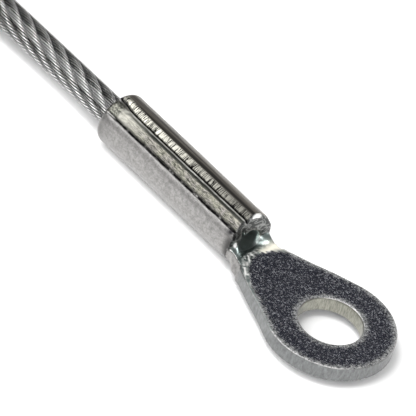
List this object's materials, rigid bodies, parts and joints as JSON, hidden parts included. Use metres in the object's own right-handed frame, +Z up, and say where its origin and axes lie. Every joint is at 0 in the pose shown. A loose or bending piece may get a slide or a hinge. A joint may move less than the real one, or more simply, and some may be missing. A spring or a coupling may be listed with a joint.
{
  "type": "coated wire rope assembly with stamped eye terminals",
  "caption": "Plastic-coated steel wire rope with a stamped eye terminal crimped on each end, its spare length looped and tied.",
  "frame": {"origin": "centre of the near eye's hole, on the eye's bottom face", "axes": "+X from the rope towards the near eye, along the near terminal; +Z up, square to the eye's flat faces; +Y makes the frame right-handed"},
  "size_m": [0.2172, 0.0705, 0.0157],
  "materials": {
    "zinc_plated_steel": "bright zinc plate over stamped sheet steel, granular on the flat tongue",
    "galvanised_wire": "drawn galvanised wire, laid in strands",
    "clear_coat": "clear extruded plastic, glossy",
    "nylon_tie": "natural nylon"
  },
  "bodies": {
    "root": {"near_eye_terminal": "zinc_plated_steel", "near_king_strand": "galvanised_wire", "near_outer_strand_1": "galvanised_wire", "near_outer_strand_2": "galvanised_wire", "near_outer_strand_3": "galvanised_wire", "near_outer_strand_4": "galvanised_wire", "near_outer_strand_5": "galvanised_wire", "near_outer_strand_6": "galvanised_wire", "far_eye_terminal": "zinc_plated_steel", "far_king_strand": "galvanised_wire", "far_outer_strand_1": "galvanised_wire", "far_outer_strand_2": "galvanised_wire", "far_outer_strand_3": "galvanised_wire", "far_outer_strand_4": "galvanised_wire", "far_outer_strand_5": "galvanised_wire", "far_outer_strand_6": "galvanised_wire", "rope_core": "galvanised_wire", "rope_coat": "clear_coat", "loop_tie": "nylon_tie"}
  },
  "joints": []
}
